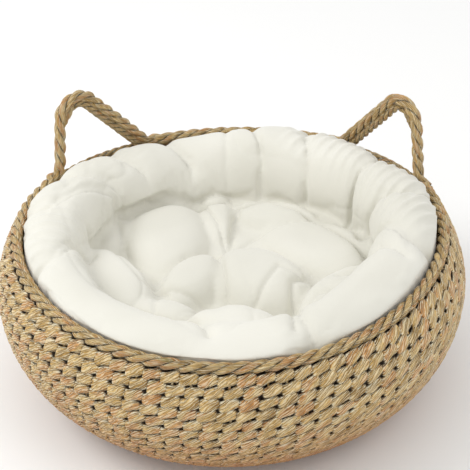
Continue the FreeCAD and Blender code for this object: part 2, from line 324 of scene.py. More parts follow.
def in_ear(across, rise):
    """A point of the right ear's plane, across from its outer foot and up from the rim."""
    return OUTER_FOOT + ALONG_EAR * across + Vector((0, 0, rise))


def ear_corners(inset):
    """Feet, peak and slope of the ear's outline, moved in by a distance from the border rope."""
    peak_across = EAR_PEAK * tan(EAR_LEAN)
    slope = atan(EAR_PEAK / (EAR_WIDTH - peak_across))
    left = inset / cos(EAR_LEAN)
    right = EAR_WIDTH - inset / sin(slope)
    rise = (right - left) / (tan(EAR_LEAN) + 1 / tan(slope))
    return left, (left + rise * tan(EAR_LEAN), rise), right, slope


def ear_rope_points():
    left, peak, right, slope = ear_corners(0.0)
    start = -EAR_OUTER_FOOT_RADIUS * tan((pi / 2 - EAR_LEAN) / 2) - EAR_FOOT_LENGTH
    stop = EAR_WIDTH + EAR_INNER_FOOT_RADIUS * tan(slope / 2) + EAR_FOOT_LENGTH
    corners = [in_ear(start, 0), in_ear(left, 0), in_ear(*peak), in_ear(right, 0), in_ear(stop, 0)]
    return rounded(corners, [EAR_OUTER_FOOT_RADIUS, EAR_TIP_RADIUS, EAR_INNER_FOOT_RADIUS])


def second_row_points():
    """Inside the border rope's line, with its low end tucked in behind the border rope."""
    inset = ROPE_RADIUS + SECOND_ROW_RADIUS - SECOND_ROW_SINK
    left, peak, right, slope = ear_corners(inset)
    tucked = in_ear(left - 0.7 * inset + SECOND_ROW_START * tan(EAR_LEAN), SECOND_ROW_START)
    bend = SECOND_ROW_START + SECOND_ROW_BEND
    low = in_ear(left + bend * tan(EAR_LEAN), bend)
    end = in_ear(right - SECOND_ROW_END / tan(slope), SECOND_ROW_END)
    return rounded([tucked, low, in_ear(*peak), end], [0.02, EAR_TIP_RADIUS - inset])


def ear_wire_points():
    left, peak, right, slope = ear_corners(0.0)
    rise = RING_HEIGHT + WIRE_RADIUS - RIM_HEIGHT
    low = in_ear(left + rise * tan(EAR_LEAN), rise)
    end = in_ear(right - rise / tan(slope), rise)
    return rounded([low, in_ear(*peak), end], [EAR_TIP_RADIUS])


def mirrored(points):
    return [Vector((-p.x, p.y, p.z)) for p in points]


def length_of(points):
    return sum((b - a).length for a, b in zip(points, points[1:]))


# --- trees for the basket ---

def twined_row_tree():
    """One row of twining: two flat twisted strands that change sides between the stakes."""
    tree, node, given = new_tree("twined row", [
        ("Row radius", "Float", 0.2), ("Row height", "Float", 0.1), ("Slope", "Float", 0.0),
        ("Stakes", "Int", 84), ("Steps per stake", "Int", 12), ("Points round strand", "Int", 15),
        ("Strand width", "Float", 0.011), ("Strand thickness", "Float", 0.0032),
        ("Weave depth", "Float", 0.0029), ("Crossing rise", "Float", 0.002),
        ("Leaf ridge", "Float", 0.08), ("Unevenness", "Float", 0.0018), ("Shift", "Float", 0.0),
        ("Seed", "Float", 0.0), ("Material", "Material", None)])
    steps = node("MULTIPLY", [given["Stakes"], given["Steps per stake"]])
    steps = node("ADD", [steps, 1.0])
    strands = []
    for lead in (0.0, 1.0):
        grid = node("GeometryNodeMeshGrid", [1.0, 1.0, steps, given["Points round strand"]])
        place = node("GeometryNodeInputPosition")
        x = node(SEPARATE, [place])
        lap = node("ADD", [x, 0.5])
        bearing = node("MULTIPLY_ADD", [lap, 2 * pi, pi / 2])
        stake = node("MULTIPLY_ADD", [lap, given["Stakes"], lead])
        phase = node("ADD", [stake, given["Shift"]])
        phase = node("MULTIPLY", [phase, pi])
        around = node("MULTIPLY", [x.node.outputs[1], 2 * pi])
        # the ring's own place, for noise that closes on itself
        ring = node(COMBINE, [node(kind, [bearing]) for kind in ("COSINE", "SINE")])
        seed = node("MULTIPLY_ADD", [given["Seed"], 7.31, 3.7 * lead])
        spot = node(VECTOR_MATH, {0: ring, "Scale": given["Row radius"]}, operation="SCALE")
        spot = node(VECTOR_MATH, [spot, node(COMBINE, [0.0, 0.0, seed])])
        rough = node(NOISE, {"Vector": spot, "Scale": WOBBLES, "Detail": 1.0}, out=1)
        rough = node(VECTOR_MATH, [rough, (0.5, 0.5, 0.5)], operation="SUBTRACT")
        uneven = node(SEPARATE, [rough])
        # each strand stays out over its stake and changes sides quickly between two
        outward = node("COSINE", [phase])
        outward = node("MULTIPLY", [outward, SIDE_CHANGE])
        outward = node("TANH", [outward])
        upward = node("SINE", [phase])
        width = node("MULTIPLY_ADD", [uneven, STRAND_SHARE, STRAND_SHARE])
        width = node("MULTIPLY", [width, given["Strand width"]])
        # the twisted leaves make ridges that run across the strand at a slant
        twisted = node("MULTIPLY_ADD", [around, float(LEAVES), phase])
        ridge = node("COSINE", [twisted])
        ridge = node("MULTIPLY_ADD", [ridge, given["Leaf ridge"], 1.0])
        wide = node("MULTIPLY", [node("COSINE", [around]), width])
        thick = node("MULTIPLY", [node("SINE", [around]), given["Strand thickness"]])
        # it swells between two stakes, where nothing presses it flat
        spread = node("MULTIPLY", [outward, outward])
        swell = node(RANGE, [spread, 0.0, 1.0, 1.15, 0.5])
        thick = node("MULTIPLY", [thick, swell])
        wide = node("MULTIPLY", [wide, ridge])
        thick = node("MULTIPLY", [thick, ridge])
        depth = node("MULTIPLY_ADD", [outward, given["Weave depth"], thick])
        climb = node("MULTIPLY_ADD", [upward, given["Crossing rise"], wide])
        lift = node("MULTIPLY", [uneven.node.outputs[1], given["Unevenness"]])
        climb = node("ADD", [climb, lift])
        c, s = (node(kind, [given["Slope"]]) for kind in ("COSINE", "SINE"))
        out = node("MULTIPLY_ADD", [depth, c, given["Row radius"]])
        fall = node("MULTIPLY", [climb, s])
        out = node("SUBTRACT", [out, fall])
        high = node("MULTIPLY_ADD", [depth, s, given["Row height"]])
        high = node("MULTIPLY_ADD", [climb, c, high])
        flat = node(VECTOR_MATH, {0: ring, "Scale": out}, operation="SCALE")
        final = node(VECTOR_MATH, [flat, node(COMBINE, [0.0, 0.0, high])])
        # facts for the material: where on the twisted leaves, how far along, how far out
        turn = node("MULTIPLY_ADD", [phase, 0.5, around])
        fibre = node(COMBINE, [
            node("COSINE", [turn]), node("SINE", [turn]),
            node("MULTIPLY_ADD", [stake, 1.0, seed])])
        reach = node("ADD", [given["Weave depth"], given["Strand thickness"]])
        relief = node("DIVIDE", [node("ABSOLUTE", [depth]), reach])
        marked = node(STORE, {"Geometry": grid, "Name": "fibre", "Value": fibre},
                      data_type="FLOAT_VECTOR")
        marked = node(STORE, {"Geometry": marked, "Name": "relief", "Value": relief})
        moved = node(SET_POSITION, {"Geometry": marked, "Position": final})
        closed = node("GeometryNodeMergeByDistance", {"Geometry": moved, "Distance": 1e-6})
        strands.append(node("GeometryNodeFlipFaces", [closed]))   # so that they face outwards
    close_tree(tree, strands, given)
    return tree


def rods_tree():
    """A rod along a path, repeated round the upright axis: stakes, and wires when there is one."""
    tree, node, given = new_tree("rods", [
        ("Geometry", "Geometry", None), ("Rod radius", "Float", 0.0013), ("Count", "Int", 1),
        ("Points round rod", "Int", 8), ("Material", "Material", None)])
    section = node("GeometryNodeCurvePrimitiveCircle", {
        "Resolution": given["Points round rod"], "Radius": given["Rod radius"]})
    rod = node(CURVE_TO_MESH, {
        "Curve": given["Geometry"], "Profile Curve": section, "Fill Caps": True})
    points = node("GeometryNodeMeshLine", {"Count": given["Count"], "Offset": (0, 0, 0)})
    index = node("GeometryNodeInputIndex")
    share = node("DIVIDE", [index, given["Count"]])
    angle = node("MULTIPLY", [share, 2 * pi])
    rods = node("GeometryNodeInstanceOnPoints", {
        "Points": points, "Instance": rod, "Rotation": node(COMBINE, [0.0, 0.0, angle])})
    real = node("GeometryNodeRealizeInstances", [rods])
    place = node("GeometryNodeInputPosition")
    fibre = node(VECTOR_MATH, [place, (60, 60, 12)], operation="MULTIPLY")
    marked = node(STORE, {"Geometry": real, "Name": "fibre", "Value": fibre},
                  data_type="FLOAT_VECTOR")
    marked = node(STORE, {"Geometry": marked, "Name": "relief", "Value": 0.7})
    close_tree(tree, [marked], given)
    return tree


def laid_rope_tree():
    """Three twisted strands laid round a path, of which one stretch is kept."""
    tree, node, given = new_tree("laid rope", [
        ("Geometry", "Geometry", None), ("Rope radius", "Float", 0.00625),
        ("Lay", "Float", 0.05), ("From", "Float", 0.0), ("To", "Float", 10.0),
        ("Step", "Float", 0.0016), ("Leaf ridge", "Float", 0.06), ("Leaf lay", "Float", 0.030),
        ("Unevenness", "Float", 0.0008), ("Seed", "Float", 0.0), ("Material", "Material", None)])
    line = node("GeometryNodeResampleCurve", {
        "Curve": given["Geometry"], "Length": given["Step"]}, mode="LENGTH")
    middle = node(CURVE_TO_MESH, {"Curve": line})
    strand_radius = node("MULTIPLY", [given["Rope radius"], 0.49])
    offset_radius = node("SUBTRACT", [given["Rope radius"], strand_radius])
    ring = node("GeometryNodeCurvePrimitiveCircle", {"Resolution": 12, "Radius": 1.0})
    spot = node("GeometryNodeInputPosition")
    part = node(SEPARATE, [spot])
    turned = node("ARCTAN2", [part.node.outputs[1], part])
    lobes = node("COSINE", [node("MULTIPLY", [turned, float(LEAVES)])])
    size = node("MULTIPLY_ADD", [lobes, given["Leaf ridge"], 1.0])
    size = node("MULTIPLY", [size, strand_radius])
    lobed = node(VECTOR_MATH, {0: spot, "Scale": size}, operation="SCALE")
    section = node(STORE, {"Geometry": ring, "Name": "leaf", "Value": spot},
                   data_type="FLOAT_VECTOR")
    section = node(SET_POSITION, {"Geometry": section, "Position": lobed})
    strands = []
    for k in range(3):
        along = node("GeometryNodeSplineParameter", out="Length")
        normal = node("GeometryNodeInputNormal")
        tangent = node("GeometryNodeInputTangent")
        across = node(VECTOR_MATH, [tangent, normal], operation="CROSS_PRODUCT")
        turns = node("DIVIDE", [along, given["Lay"]])
        angle = node("MULTIPLY_ADD", [turns, -2 * pi, 2 * pi * k / 3])
        c, s = (node(kind, [angle]) for kind in ("COSINE", "SINE"))
        side = node(VECTOR_MATH, {0: normal, "Scale": c}, operation="SCALE")
        up = node(VECTOR_MATH, {0: across, "Scale": s}, operation="SCALE")
        way = node(VECTOR_MATH, [side, up])
        offset = node(VECTOR_MATH, {0: way, "Scale": offset_radius}, operation="SCALE")
        place = node("GeometryNodeInputPosition")
        seed = node(COMBINE, [given["Seed"], float(k), 0.0])
        seeded = node(VECTOR_MATH, [place, seed])
        rough = node(NOISE, {"Vector": seeded, "Scale": 80.0, "Detail": 1.0}, out=1)
        rough = node(VECTOR_MATH, [rough, (0.5, 0.5, 0.5)], operation="SUBTRACT")
        rough = node(VECTOR_MATH, {0: rough, "Scale": given["Unevenness"]}, operation="SCALE")
        offset = node(VECTOR_MATH, [offset, rough])
        marked = node(STORE, {"Geometry": line, "Name": "along", "Value": along})
        tilt = node("DIVIDE", [along, given["Leaf lay"]])
        tilt = node("MULTIPLY", [tilt, pi])
        laid = node(SET_POSITION, {"Geometry": marked, "Offset": offset})
        laid = node("GeometryNodeSetCurveTilt", {"Curve": laid, "Tilt": tilt})
        stretch = node("GeometryNodeInputNamedAttribute", {"Name": "along"})
        low = node("LESS_THAN", [stretch, given["From"]])
        high = node("GREATER_THAN", [stretch, given["To"]])
        outside = node("ADD", [low, high])
        kept = node("GeometryNodeDeleteGeometry", {"Geometry": laid, "Selection": outside})
        strand = node(CURVE_TO_MESH, {"Curve": kept, "Profile Curve": section, "Fill Caps": True})
        leaf = node("GeometryNodeInputNamedAttribute", {"Name": "leaf"}, data_type="FLOAT_VECTOR")
        reached = node("MULTIPLY_ADD", [stretch, 55.0, 3.0 * k])
        reached = node("ADD", [reached, given["Seed"]])
        fibre = node(VECTOR_MATH, [leaf, node(COMBINE, [0.0, 0.0, reached])])
        strand = node(STORE, {"Geometry": strand, "Name": "fibre", "Value": fibre},
                      data_type="FLOAT_VECTOR")
        # how far out of the rope's middle, as a share of its radius
        out = node("GeometryNodeProximity", [middle], out="Distance", target_element="EDGES")
        relief = node("DIVIDE", [out, given["Rope radius"]])
        relief = node(RANGE, [relief, 0.42, 0.76, 0.25, 0.70])
        strands.append(node(STORE, {"Geometry": strand, "Name": "relief", "Value": relief}))
    close_tree(tree, strands, given)
    return tree


# --- materials ---

def colour(code):
    """Linear colour of an sRGB hex value."""
    parts = [int(code[i:i + 2], 16) / 255 for i in (1, 3, 5)]
    linear = [p / 12.92 if p <= 0.04045 else ((p + 0.055) / 1.055) ** 2.4 for p in parts]
    return (*linear, 1.0)


def new_material(name, values):
    """A material, with these constants on its Principled shader's own sockets."""
    material = bpy.data.materials.new(name)
    material.use_nodes = True
    tree = material.node_tree
    tree.nodes.clear()
    shader = tree.nodes.new("ShaderNodeBsdfPrincipled")
    output = tree.nodes.new("ShaderNodeOutputMaterial")
    tree.links.new(shader.outputs[0], output.inputs["Surface"])
    for socket, value in values.items():
        shader.inputs[socket].default_value = value
    return material, tree, partial(add, tree), shader


def dried_rush(name, low_tint, slit_shade_strength):
    """Dried rush leaf, twisted by hand: satin, streaked along the fibre, tan to olive and rust."""
    material, tree, node, shader = new_material(name, {"IOR": 1.45})
    fibre = node("ShaderNodeAttribute", attribute_name="fibre", out="Vector")
    relief = node("ShaderNodeAttribute", attribute_name="relief", out="Fac")
    place = node("ShaderNodeTexCoord", out="Object")
    # one leaf keeps its colour for two or three stitches
    leaf = node(VECTOR_MATH, [fibre, (0.35, 0.35, 0.55)], operation="MULTIPLY")
    hue = node(NOISE, {"Vector": leaf, "Scale": 1.0, "Detail": 1.0, "Roughness": 0.4})
    base = node(RAMP, [hue], stops=[
        (0.27, "#B48A45"), (0.36, "#D6AC5F"), (0.44, "#EEC47A"), (0.50, "#F9D68F"),
        (0.56, "#E8B568"), (0.62, "#EFB774"), (0.70, "#D99850"), (0.78, "#CBB066")])
    # fibres about 0.6 mm apart, long in the strand's own direction
    streak_place = node(VECTOR_MATH, [fibre, (5.0, 5.0, 0.8)], operation="MULTIPLY")
    streak = node(NOISE, {"Vector": streak_place, "Scale": 1.6, "Detail": 3.0, "Roughness": 0.65})
    # leaf edges about 2 mm apart, wandering, with painted shade in a slit beside each
    part = node(SEPARATE, [fibre])
    turn = node("ARCTAN2", [part.node.outputs[1], part])
    wander = node(NOISE, {"Vector": fibre, "Scale": 1.9, "Detail": 1.0})
    edge = node("MULTIPLY", [turn, LEAF_EDGES])
    edge = node("MULTIPLY_ADD", [wander, 14.0, edge])
    edge = node("COSINE", [edge])
    edge = node("MULTIPLY_ADD", [streak, 3.0, edge])
    beside = node(RANGE, [relief, 0.60, 0.71, 1.0, 0.5])
    # painted shade: the slits between leaf edges are darkened where shade falls in them
    painted_slit_shade = node(RANGE, [edge, 0.3, 1.15, slit_shade_strength, 0.0])
    painted_slit_shade = node("MULTIPLY", [painted_slit_shade, beside])
    # painted highlight: a pale cream on the leaf's crown stands in for light shining on it
    crown = node(RANGE, [edge, 1.45, 2.1, 0.0, 1.0])
    crown = node("MULTIPLY", [crown, beside])
    # the lowest rows are a browner bundle of leaf
    height = node(SEPARATE, [place], out=2)
    low = node(RANGE, [height, 0.012, 0.095, low_tint, 0.0])
    # painted shade: deep between the strands the colour is darkened where shade falls
    deep = node(RANGE, [relief, 0.34, 0.59, 0.96, 0.0])
    # painted shade in the slits, painted highlight on the leaf's crown, the brown low rows, painted
    # shade in the depths
    mixed = base
    for amount, code, blend in ((painted_slit_shade, "#4A280A", "MULTIPLY"), (crown, "#FFF4D4", "MIX"),
                                (low, "#D9A06A", "MULTIPLY"), (deep, "#2A1A0B", "MIX")):
        mixed = node("ShaderNodeMix", {"Factor": amount, 6: mixed, 7: colour(code)},
                    out=2, data_type="RGBA", blend_type=blend)
    tree.links.new(mixed, shader.inputs["Base Color"])
    rough = node(RANGE, [streak, 0.3, 0.7, 0.62, 0.42])
    tree.links.new(rough, shader.inputs["Roughness"])
    bump = node("ShaderNodeBump", {"Strength": 1.0, "Distance": 0.0008, "Height": edge})
    tree.links.new(bump, shader.inputs["Normal"])
    return material


def galvanised_wire():
    """Zinc-coated steel wire, drawn: dull grey, a little blotchy."""
    material, tree, node, shader = new_material("galvanised steel wire",
                                                {"Metallic": 1.0, "Roughness": 0.45})
    place = node("ShaderNodeTexCoord", out="Object")
    blotch = node(NOISE, {"Vector": place, "Scale": 180.0, "Detail": 2.0})
    tint = node(RAMP, [blotch], stops=[(0.35, "#6E7173"), (0.65, "#9A9DA0")])
    tree.links.new(tint, shader.inputs["Base Color"])
    return material


def brushed_cotton():
    """Brushed cotton cover: off-white, matt with a soft nap that lightens at grazing angles."""
    material, tree, node, shader = new_material("brushed cotton cover", {
        "Roughness": 0.88, "IOR": 1.45, "Sheen Weight": 0.35, "Sheen Roughness": 0.5})
    place = node("ShaderNodeTexCoord", out="Object")
    cloud = node(NOISE, {"Vector": place, "Scale": 9.0, "Detail": 2.0})
    tint = node(RAMP, [cloud], stops=[(0.35, "#D6D4C9"), (0.65, "#DFDDD3")])
    tree.links.new(tint, shader.inputs["Base Color"])
    # threads about 1 mm apart, coarser than the real 0.4 mm so that they show
    nap = node(NOISE, {"Vector": place, "Scale": 900.0, "Detail": 2.0})
    soft = node(NOISE, {"Vector": place, "Scale": 140.0, "Detail": 3.0})
    both = node("MULTIPLY_ADD", [soft, 2.0, nap])
    bump = node("ShaderNodeBump", {"Strength": 0.25, "Distance": 0.0005, "Height": both})
    tree.links.new(bump, shader.inputs["Normal"])
    return material


# --- the basket ---

def keep(piece, body, slot, *nodes):
    """Hands a finished piece to the frame: its body and the nodes it stands for. The slot, its
    finish, is not used.
    """
    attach(piece, body)
    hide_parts(*nodes)


def make(way, name, slot, tree, values, path=None):
    """Grows a piece of the basket, named for the way it is made, and keeps it."""
    keep(grow(way + "_" + name, tree, values, path), "basket", slot, name)


# How far each row's stitches sit beside the stakes, as a share of the stakes' distance
STITCH_SHIFTS = (0.0, 0.17, -0.08, 0.21, 0.05, -0.19, 0.12, -0.14, 0.02, -0.21, 0.15)


def weave_rows(tree, rush):
    for number, (radius, height, slope, pitch) in enumerate(row_places(), 1):
        make("woven", "wall_row_%02d" % number, "twined_rush", tree, {
            "Row radius": radius, "Row height": height, "Slope": slope, "Stakes": STAKE_COUNT,
            "Strand width": pitch, "Shift": STITCH_SHIFTS[number % len(STITCH_SHIFTS)],
            "Weave depth": WEAVE_DEPTH, "Crossing rise": pitch * 0.15, "Seed": float(number),
            "Material": rush})


def weave_base(tree, rush):
    """Flat rows round the centre, worked a little tighter than the wall."""
    pitch = (BASE_RADIUS - CENTRE_RADIUS) / BASE_ROWS
    for number in range(1, BASE_ROWS + 1):
        make("woven", "base_row_%02d" % number, "twined_rush", tree, {
            "Row radius": CENTRE_RADIUS + (number - 0.5) * pitch,
            "Row height": WALL_THICKNESS / 2 + 0.0001, "Slope": -pi / 2,
            "Stakes": BASE_STAKE_COUNT, "Steps per stake": 7, "Points round strand": 13,
            "Strand width": pitch * 0.92, "Weave depth": WEAVE_DEPTH * 0.9,
            "Crossing rise": pitch * 0.16, "Seed": 40.0 + number, "Material": rush})


def plant_stakes(tree, rush):
    make("rush", "side_stakes", "rush_stake", tree, {
        "Rod radius": 0.00135, "Count": STAKE_COUNT, "Material": rush}, stake_path())
    ends = [(CENTRE_RADIUS, 0, WALL_THICKNESS / 2), (BASE_RADIUS, 0, WALL_THICKNESS / 2)]
    make("rush", "base_stakes", "rush_stake", tree, {
        "Rod radius": 0.0011, "Count": BASE_STAKE_COUNT, "Material": rush},
        path_curve("base stake line", ends))


def coil_centre(tree, rush):
    """The start of the base: a cord coiled out from the middle, then back in on top."""
    layers, steps, inmost = 2, 64, 0.0012
    cord_radius = WALL_THICKNESS / 2 / layers
    turns = CENTRE_RADIUS / (2 * cord_radius)
    outermost = CENTRE_RADIUS - cord_radius
    points = []
    for layer in range(layers):
        for i in range(steps + 1):
            share = i / steps if layer == 0 else 1 - i / steps
            angle = 2 * pi * turns * (i / steps + layer)
            radius = inmost + (outermost - inmost) * share
            height = cord_radius * (1 + 2 * layer)
            points.append(Vector((radius * cos(angle), radius * sin(angle), height)))
    make("coiled", "base_centre", "twined_rush", tree, {
        "Rope radius": cord_radius, "Lay": 0.016, "Unevenness": 0.0002, "Material": rush},
        path_curve("centre coil", points))


def border_points():
    """The border rope's whole line: right ear, back, left ear, front, with each stretch's end."""
    right = ear_rope_points()
    left = mirrored(right)[::-1]
    first_back = atan(right[-1].y / right[-1].x)
    back = round_the_rim(RIM_RADIUS, RIM_HEIGHT, first_back, pi - first_back, 40)[1:-1]
    first_front = pi - atan(right[0].y / right[0].x)
    last_front = 3 * pi - first_front
    front = round_the_rim(RIM_RADIUS, RIM_HEIGHT, first_front, last_front, 160)[1:-1] + [right[0]]
    whole, ends = [], []
    for stretch in (right, back + left[:1], left[1:], front):
        whole += stretch
        ends.append(length_of(whole))
    return whole, ends


def lay_ropes(tree, rush):
    whole, ends = border_points()
    turns = round(ends[-1] / ROPE_LAY)
    starts = [0.0] + ends[:-1]
    overlap = 0.0012    # each stretch runs this far into the next
    names = ["right_ear_border_rope", "rim_rope_back", "left_ear_border_rope", "rim_rope_front"]
    for name, start, end in zip(names, starts, ends):
        make("laid", name, "rush_rope", tree, {
            "Rope radius": ROPE_RADIUS, "Lay": ends[-1] / turns, "From": start - overlap,
            "To": end + overlap, "Material": rush}, path_curve("border line", whole))


def lay_ear_trims(rope, rods, rush, wire):
    sill = round_the_rim(RING_RADIUS, RING_HEIGHT, pi / 2 - EAR_BEARING - EAR_HALF_ANGLE,
                         pi / 2 - EAR_BEARING + EAR_HALF_ANGLE, 24)
    for side, place in (("right", list), ("left", mirrored)):
        make("laid", side + "_ear_second_row", "rush_rope", rope, {
            "Rope radius": SECOND_ROW_RADIUS + 0.0007, "Lay": 0.030, "Leaf lay": 0.011, "Seed": 5.0,
            "Unevenness": 0.0005, "Material": rush},
            path_curve("second row line", place(second_row_points())))
        make("laid", side + "_ear_sill", "rush_rope", rope, {
            "Rope radius": SILL_RADIUS, "Lay": 0.034, "Leaf lay": 0.012, "Seed": 9.0,
            "Unevenness": 0.0004, "Material": rush}, path_curve("sill line", place(sill)))
        make("bent", side + "_ear_wire", "frame_wire", rods, {
            "Rod radius": WIRE_RADIUS, "Material": wire},
            path_curve("ear wire line", place(ear_wire_points())))
    ring = round_the_rim(RING_RADIUS, RING_HEIGHT, 0, 2 * pi, 180)[:-1]
    make("bent", "rim_wire_ring", "frame_wire", rods, {
        "Rod radius": WIRE_RADIUS, "Material": wire}, path_curve("ring line", ring, closed=True))


# --- the cushion ---

# Folds across the bolster: bearing from +X in degrees at its crest and at its inner foot,
# depth and half width in millimetres
BOLSTER_FOLDS = (
    (118, 112, 9, 7), (141, 135, 10, 8), (160, 151, 8, 7), (179, 154, 7, 9), (208, 192, 5, 10),
    (96, 96, 4, 4), (87, 80, 5, 5), (67, 58, 6, 6), (36, 34, 7, 6), (14, 20, 7, 6),
    (-13, 2, 6, 9), (-64, -60, 7, 7),
)

# Puffs of the middle: x, y, half length, half width in millimetres, turn in degrees, top height
MIDDLE_PUFFS = (
    (-72, 46, 94, 54, 98, 127), (-20, 88, 62, 24, 98, 121), (94, 32, 92, 60, -32, 122),
    (38, 94, 64, 36, -8, 121), (30, -34, 66, 52, -40, 136), (-36, -38, 58, 36, 62, 131),
    (-112, -62, 92, 44, -62, 139), (-128, 50, 58, 38, 72, 122), (122, -72, 74, 46, 52, 141),
    (14, -140, 62, 46, 0, 149), (-54, -116, 60, 38, -24, 136),
)

# Creases in the cotton: depth, half width and greatest height, then points x, y, in millimetres
CREASES = (
    (12, 4, 148, (-146, 4), (-137, 50), (-115, 74), (-78, 99), (-45, 104), (-13, 112), (6, 104),
     (31, 117), (71, 98), (128, 34), (148, -3)),
    (5, 4, 170, (-125, 57), (-112, 12), (-95, -24), (-70, -59)),
    (5, 4, 170, (-70, -59), (-63, -29), (-45, -4), (-19, 16), (-17, 12)),
    (4, 3, 170, (-38, 101), (-20, 67), (-4, 22)),
    (5, 3, 170, (0, 102), (-2, 61), (-4, 21)),
    (3, 3, 170, (1, 23), (20, 52), (51, 70), (83, 78), (104, 56)),
    (5, 4, 170, (-17, 14), (18, 25), (54, 5), (89, -36), (119, -27), (148, -16), (166, -14)),
    (6, 4, 170, (-15, 3), (-7, -33), (1, -90)),
    (4, 3, 170, (32, -83), (52, -34), (80, -43)),
    (4, 4, 170, (-58, -70), (-38, -75), (-11, -79)),
    (5, 4, 200, (-143, -2), (-122, -3), (-83, -59), (-58, -74)),
    (3, 3, 200, (-66, -93), (-63, -131)),
    (5, 4, 200, (-38, -133), (-9, -102), (26, -92), (49, -97), (65, -117), (69, -143), (74, -178)),
    (5, 4, 200, (68, -87), (67, -56), (80, -41)),
    (4, 5, 200, (75, -109), (91, -86), (107, -85), (89, -129)),
    (8, 6, 200, (-110, -116), (-64, -130), (-38, -139), (-12, -162), (-4, -188)),
    (6, 7, 200, (112, -52), (150, -48), (176, -66)),
)

BOLSTER_INSIDE = 0.139         # radius of the bolster's inner side
FRONT_DROP = 0.018             # how much lower its top is at the front
BACK_LEFT_DROP = 0.015         # and at the back left
SKIN_GRAIN = 0.004             # grain of the cushion's one skin
HELD_BELOW = 0.060             # the stuffing moves nothing under this height
MOST_PUFF = 0.012              # nor anything further than this

# Gathered pleats: bearings of the first and last, direction they run, in degrees; distance apart
# and height in millimetres
PLEATS = ((-12, 78, 52, 12.5, 2.6), (160, 216, 8, 13.5, 1.8))


def bolster_ring():
    """Closed tube of the bolster, higher at the back than at the front."""
    rounds, sides = 300, 44
    low = CUSHION_LOW.z + 0.004
    points, faces = [], []
    for i in range(rounds):
        theta = 2 * pi * i / rounds
        front = max(0.0, -sin(theta - SWAY_BEARING)) ** 1.5
        rim = RIM_RADIUS * (1 + SWAY * sin(3 * (theta - SWAY_BEARING))) - ROPE_RADIUS
        full = min(1.0, 1.8 * front)
        outer = min(rim + 0.002 + 0.005 * full, ear_limit(theta))
        inner = BOLSTER_INSIDE + 0.010 * sin(2 * theta + 0.6) + 0.010 * front
        back_left = exp(-((theta - radians(112)) / radians(22)) ** 2)
        top = CUSHION_HIGH.z - 0.001 - FRONT_DROP * front - BACK_LEFT_DROP * back_left
        middle, half = (outer + inner) / 2, (outer - inner) / 2
        height = (top - low) / 2
        for k in range(sides):
            a = 2 * pi * k / sides
            s, c = sin(a), cos(a)
            x = middle + half * np.sign(c) * abs(c) ** 0.85
            z = (top + low) / 2 + height * np.sign(s) * abs(s) ** 0.62
            # full against the rope at the front, falling away from it elsewhere
            z += 0.007 * front * c - 0.008 * (1 - full) * max(c, 0) * max(s, 0) ** 0.5
            points.append(np.array([x * cos(theta), x * sin(theta), z]))
    for i in range(rounds):
        for k in range(sides):
            j, m = (i + 1) % rounds, (k + 1) % sides
            faces.append((i * sides + k, j * sides + k, j * sides + m, i * sides + m))
    return np.array(points), faces


def ear_limit(theta):
    """How far out the cushion may reach before it meets an ear as it lifts."""
    plane = sqrt(RIM_RADIUS ** 2 - (EAR_WIDTH / 2) ** 2) - ROPE_RADIUS - 0.002
    limits = [1.0]
    for bearing in (pi / 2 - EAR_BEARING, pi / 2 + EAR_BEARING):
        off = cos(theta - bearing)
        if off > 0.85:
            limits.append(plane / off)
    return min(limits)


def puff(x, y, half_length, half_width, turn, top):
    """A closed, rounded puff of the middle, down to the bottom of the cushion."""
    rounds, layers = 40, 16
    points, faces = [], []
    x, y, half_length, half_width, high = np.array([x, y, half_length, half_width, top]) / 1000
    low, t = 0.020, radians(turn)
    for j in range(1, layers):
        b = -pi / 2 + pi * j / layers
        for i in range(rounds):
            a = 2 * pi * i / rounds
            u = half_length * cos(a) * cos(b) ** 0.6
            v = half_width * sin(a) * cos(b) ** 0.6
            points.append((x + u * cos(t) - v * sin(t), y + u * sin(t) + v * cos(t),
                           (high + low) / 2 + (high - low) / 2 * sin(b)))
    bottom, crown = len(points), len(points) + 1
    points += [(x, y, low), (x, y, high)]
    for j in range(layers - 2):
        for i in range(rounds):
            k = (i + 1) % rounds
            low_ring, high_ring = j * rounds, (j + 1) * rounds
            faces.append((low_ring + i, low_ring + k, high_ring + k, high_ring + i))
    last = (layers - 2) * rounds
    for i in range(rounds):
        k = (i + 1) % rounds
        faces.append((k, i, bottom))
        faces.append((last + i, last + k, crown))
    return np.array(points), faces


def inside_disc():
    """Low round core that joins the puffs and the bolster underneath."""
    rounds = 96
    radius, low, high = 0.165, CUSHION_LOW.z + 0.004, 0.106
    points = []
    for z in (low, high):
        points += [(radius * cos(2 * pi * i / rounds), radius * sin(2 * pi * i / rounds), z)
                   for i in range(rounds)]
    faces = [tuple(range(rounds - 1, -1, -1)), tuple(range(rounds, 2 * rounds))]
    faces += [(i, (i + 1) % rounds, rounds + (i + 1) % rounds, rounds + i) for i in range(rounds)]
    return np.array(points), faces


def fold_depth(theta, inner_share, narrow=1.0):
    """How far the folds pull the bolster in, at a bearing and a share towards its inner foot."""
    pulled = np.zeros_like(theta)
    for crest, foot, depth, width in BOLSTER_FOLDS:
        middle = np.radians(crest + (foot - crest) * inner_share)
        away = np.angle(np.exp(1j * (theta - middle))) * 175
        pulled = np.maximum(pulled, depth / 1000 * np.exp(-(np.abs(away) / width / narrow) ** 1.3))
    return pulled


def smooth_noise(points, scale, seed):
    """Slow waves in three directions, the same on every run."""
    draw = np.random.default_rng(seed)
    total = np.zeros(len(points))
    for _ in range(7):
        way = draw.normal(size=3)
        way *= scale * draw.uniform(0.6, 1.5) / np.linalg.norm(way)
        total += np.sin(points @ way + draw.uniform(0, 2 * pi))
    return total / 7 ** 0.5


def mesh_object(name, points, faces):
    mesh = bpy.data.meshes.new(name)
    mesh.from_pydata([tuple(p) for p in points], [], faces)
    mesh.update()
    return placed(name, mesh)


def applied(piece):
    """The piece with its modifiers made part of its mesh."""
    mesh, old = final_mesh(piece), piece.data
    piece.modifiers.clear()
    piece.data = mesh
    bpy.data.meshes.remove(old)
    return piece


